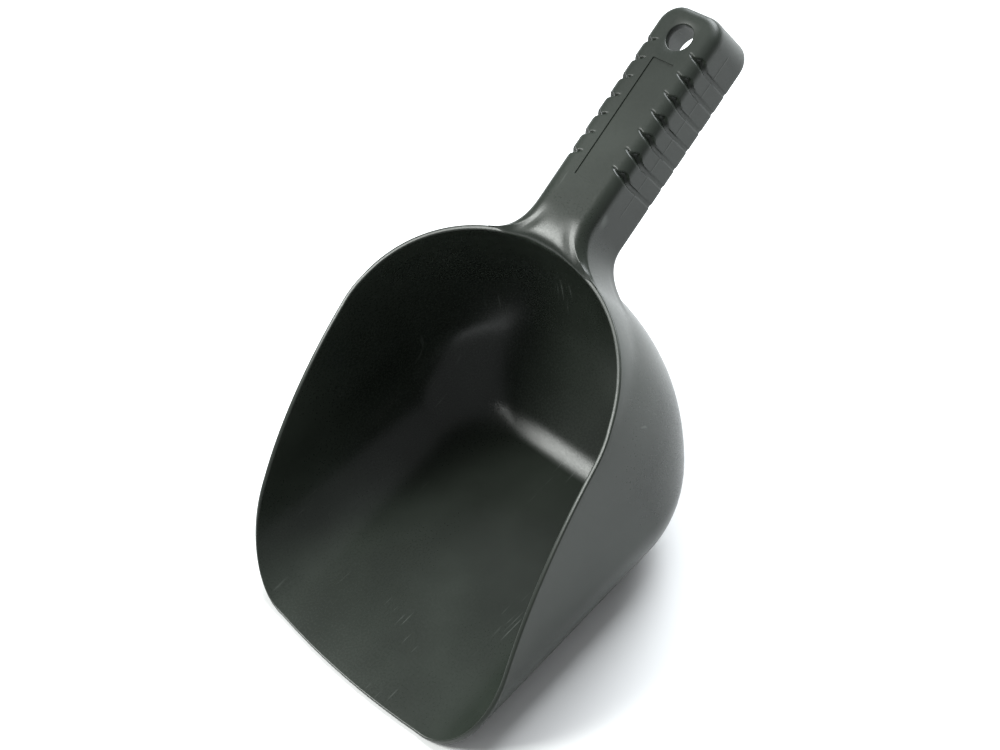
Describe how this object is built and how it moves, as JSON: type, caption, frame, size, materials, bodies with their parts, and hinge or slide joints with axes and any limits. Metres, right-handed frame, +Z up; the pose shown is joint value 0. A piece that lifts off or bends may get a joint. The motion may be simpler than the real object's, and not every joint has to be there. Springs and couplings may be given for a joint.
{
  "type": "feed scoop",
  "caption": "Hand feed scoop with a flat floor, a rounded back and a raked open mouth, on a raised hollow grip with side grooves and a hang hole.",
  "frame": {"origin": "on the ground under the middle of the overall length, on the centre plane", "axes": "+Z up, +Y from the lip towards the end of the handle, +X across the bowl"},
  "size_m": [0.169, 0.2976, 0.1625],
  "materials": {
    "moulded_plastic": "semi-gloss, dark olive green"
  },
  "bodies": {
    "root": {"bowl_floor": "moulded_plastic", "bowl_right_wall": "moulded_plastic", "bowl_left_wall": "moulded_plastic", "bowl_back_wall": "moulded_plastic", "bowl_right_corner": "moulded_plastic", "bowl_left_corner": "moulded_plastic", "handle_top_plate": "moulded_plastic", "grip_right_side": "moulded_plastic", "grip_left_side": "moulded_plastic", "grip_end_wall": "moulded_plastic", "neck_right_web": "moulded_plastic", "neck_left_web": "moulded_plastic", "neck_top": "moulded_plastic"}
  },
  "joints": []
}
